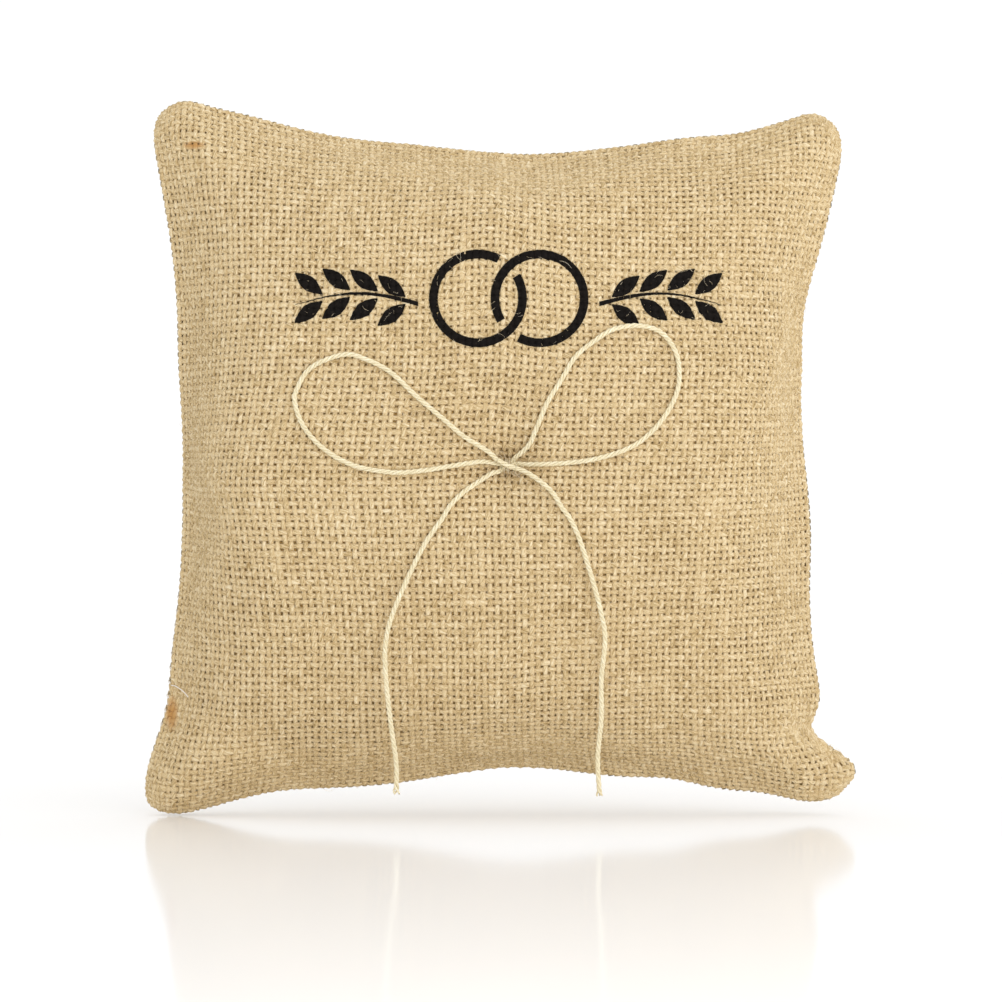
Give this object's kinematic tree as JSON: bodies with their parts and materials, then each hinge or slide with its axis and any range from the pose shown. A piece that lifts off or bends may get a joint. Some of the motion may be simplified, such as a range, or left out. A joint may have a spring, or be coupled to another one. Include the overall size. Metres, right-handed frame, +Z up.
{
  "type": "ring bearer pillow",
  "caption": "Square burlap ring pillow with pulled-in sides, printed linked rings and leafy sprigs, and a thin twine bow for tying on the rings.",
  "frame": {"origin": "on the ground, under the middle of the pillow as it stands on its two lower ears", "axes": "+X across the front from the left ear to the right ear, -Y out of the printed front, +Z up"},
  "size_m": [0.2, 0.0743, 0.2],
  "materials": {
    "burlap": "matte",
    "lining_cotton": "matte",
    "polyester_fibre": "matte",
    "sewing_thread": "matte",
    "black_ink": "matte",
    "jute_twine": "matte"
  },
  "bodies": {
    "root": {"front_panel": "burlap", "back_panel": "burlap", "front_lining": "lining_cotton", "back_lining": "lining_cotton", "fibre_filling": "polyester_fibre", "seam_thread": "sewing_thread", "closing_stitches": "sewing_thread", "closing_thread_end": "sewing_thread", "rings_print": "black_ink", "left_sprig_print": "black_ink", "right_sprig_print": "black_ink", "bow_knot": "jute_twine", "left_loop": "jute_twine", "right_loop": "jute_twine", "left_tail": "jute_twine", "right_tail": "jute_twine", "tack_stitches": "sewing_thread"}
  },
  "joints": []
}
